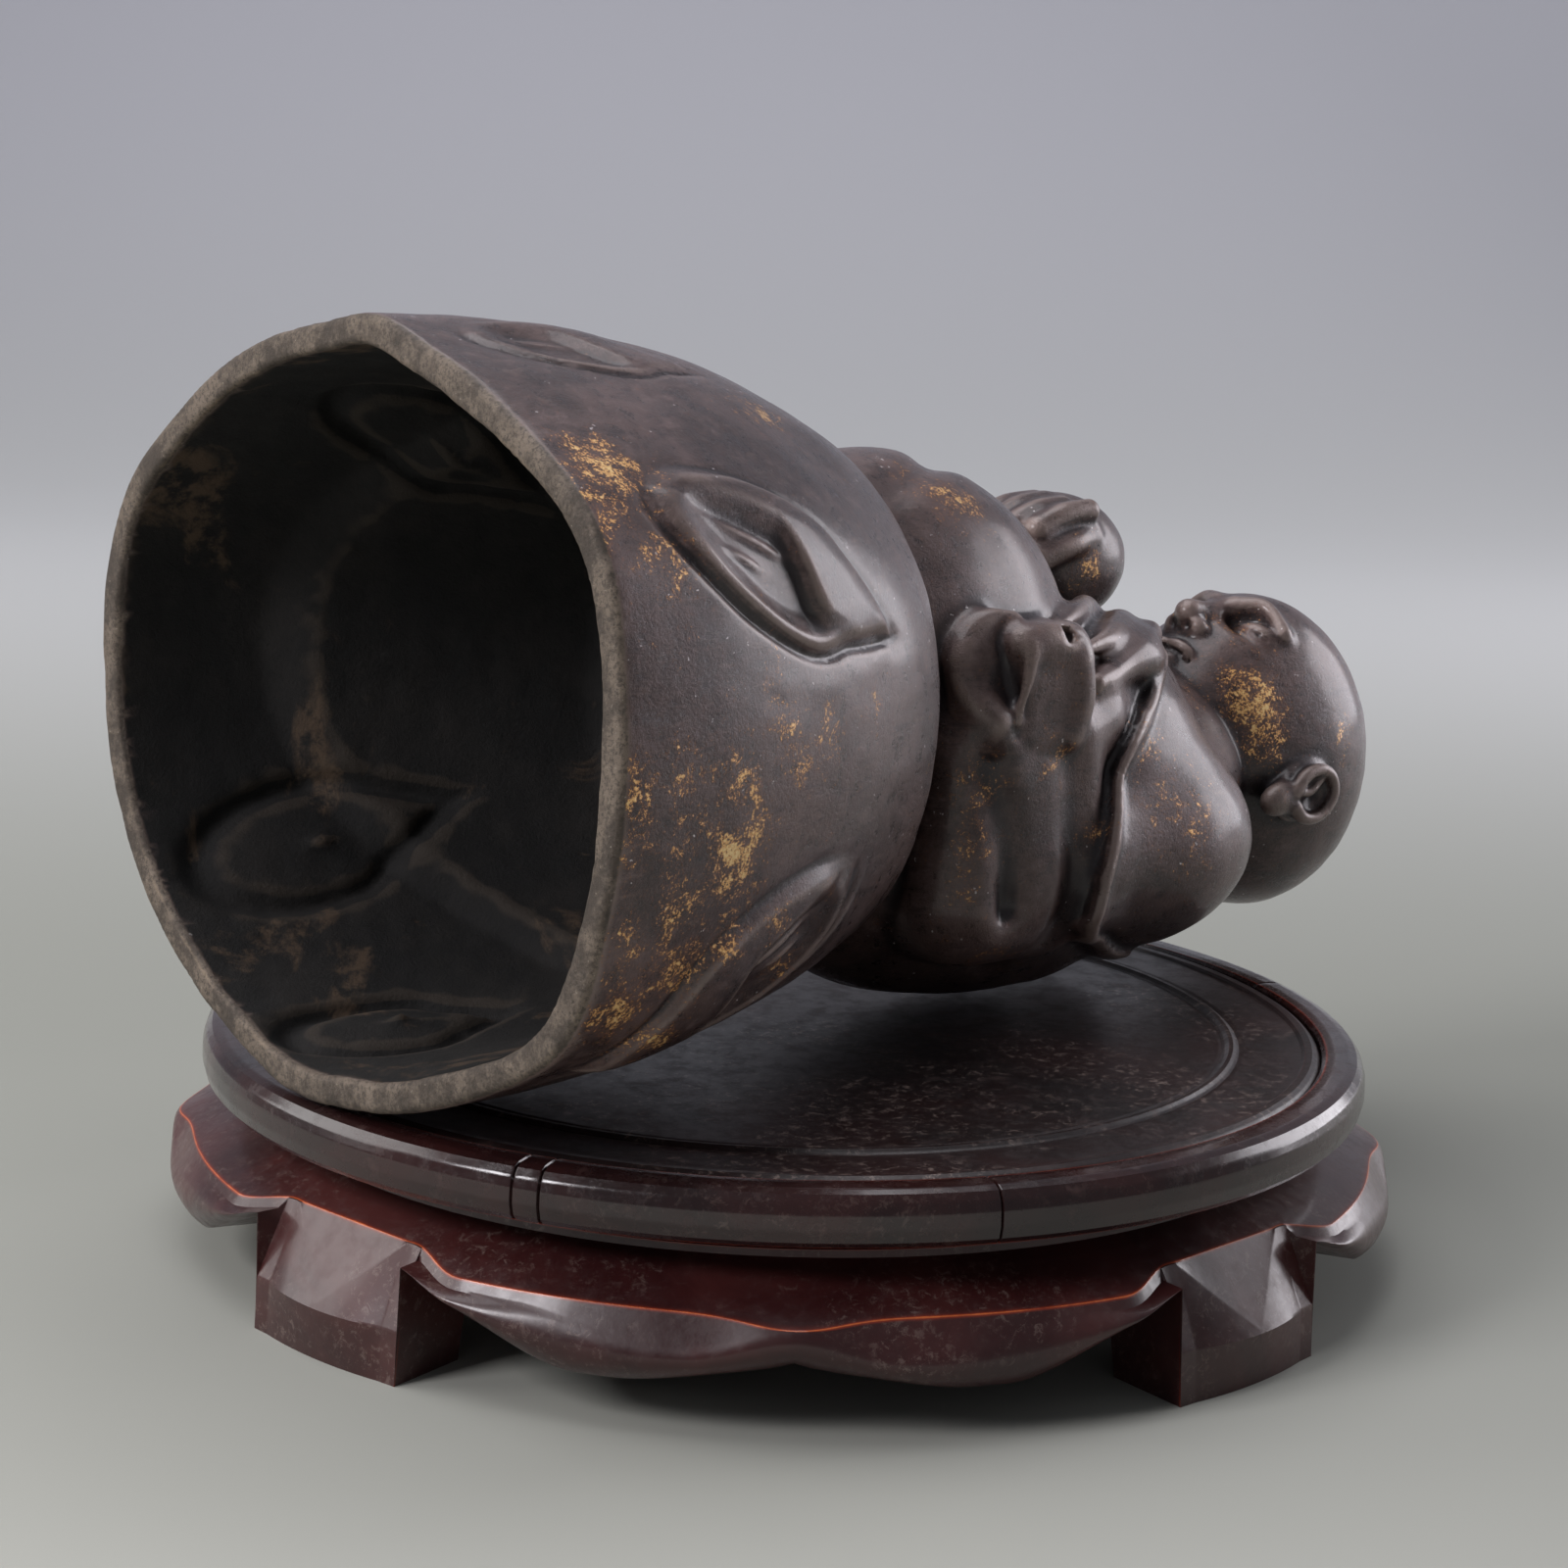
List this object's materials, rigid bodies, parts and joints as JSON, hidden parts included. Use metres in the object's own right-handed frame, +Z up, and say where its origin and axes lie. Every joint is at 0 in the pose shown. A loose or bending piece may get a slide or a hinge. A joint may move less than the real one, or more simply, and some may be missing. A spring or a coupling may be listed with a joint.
{
  "type": "buddhist monk statue",
  "caption": "Hollow bronze statue of a bald monk seated on a tree stump, lying on its back on a round carved wood display stand.",
  "frame": {"origin": "middle of the bounding box's underside, on the plane of the stand's feet", "axes": "+X towards the lying figure's head, +Z up, away from the feet, +Y towards the figure's right side"},
  "size_m": [0.244, 0.2096, 0.1611],
  "materials": {
    "statue_bronze": "dark brown-black patinated bronze with worn gilding and a pale worn rim",
    "panel_wood": "near-black lacquered hardwood, scuffed and dusty",
    "rim_wood": "glossy dark red-black lacquered hardwood",
    "base_wood": "glossy dark red-brown lacquered hardwood with orange-red worn edges"
  },
  "bodies": {
    "root": {"monk_statue": "statue_bronze", "stand_panel": "panel_wood", "stand_rim": "rim_wood", "stand_base": "base_wood"}
  },
  "joints": []
}
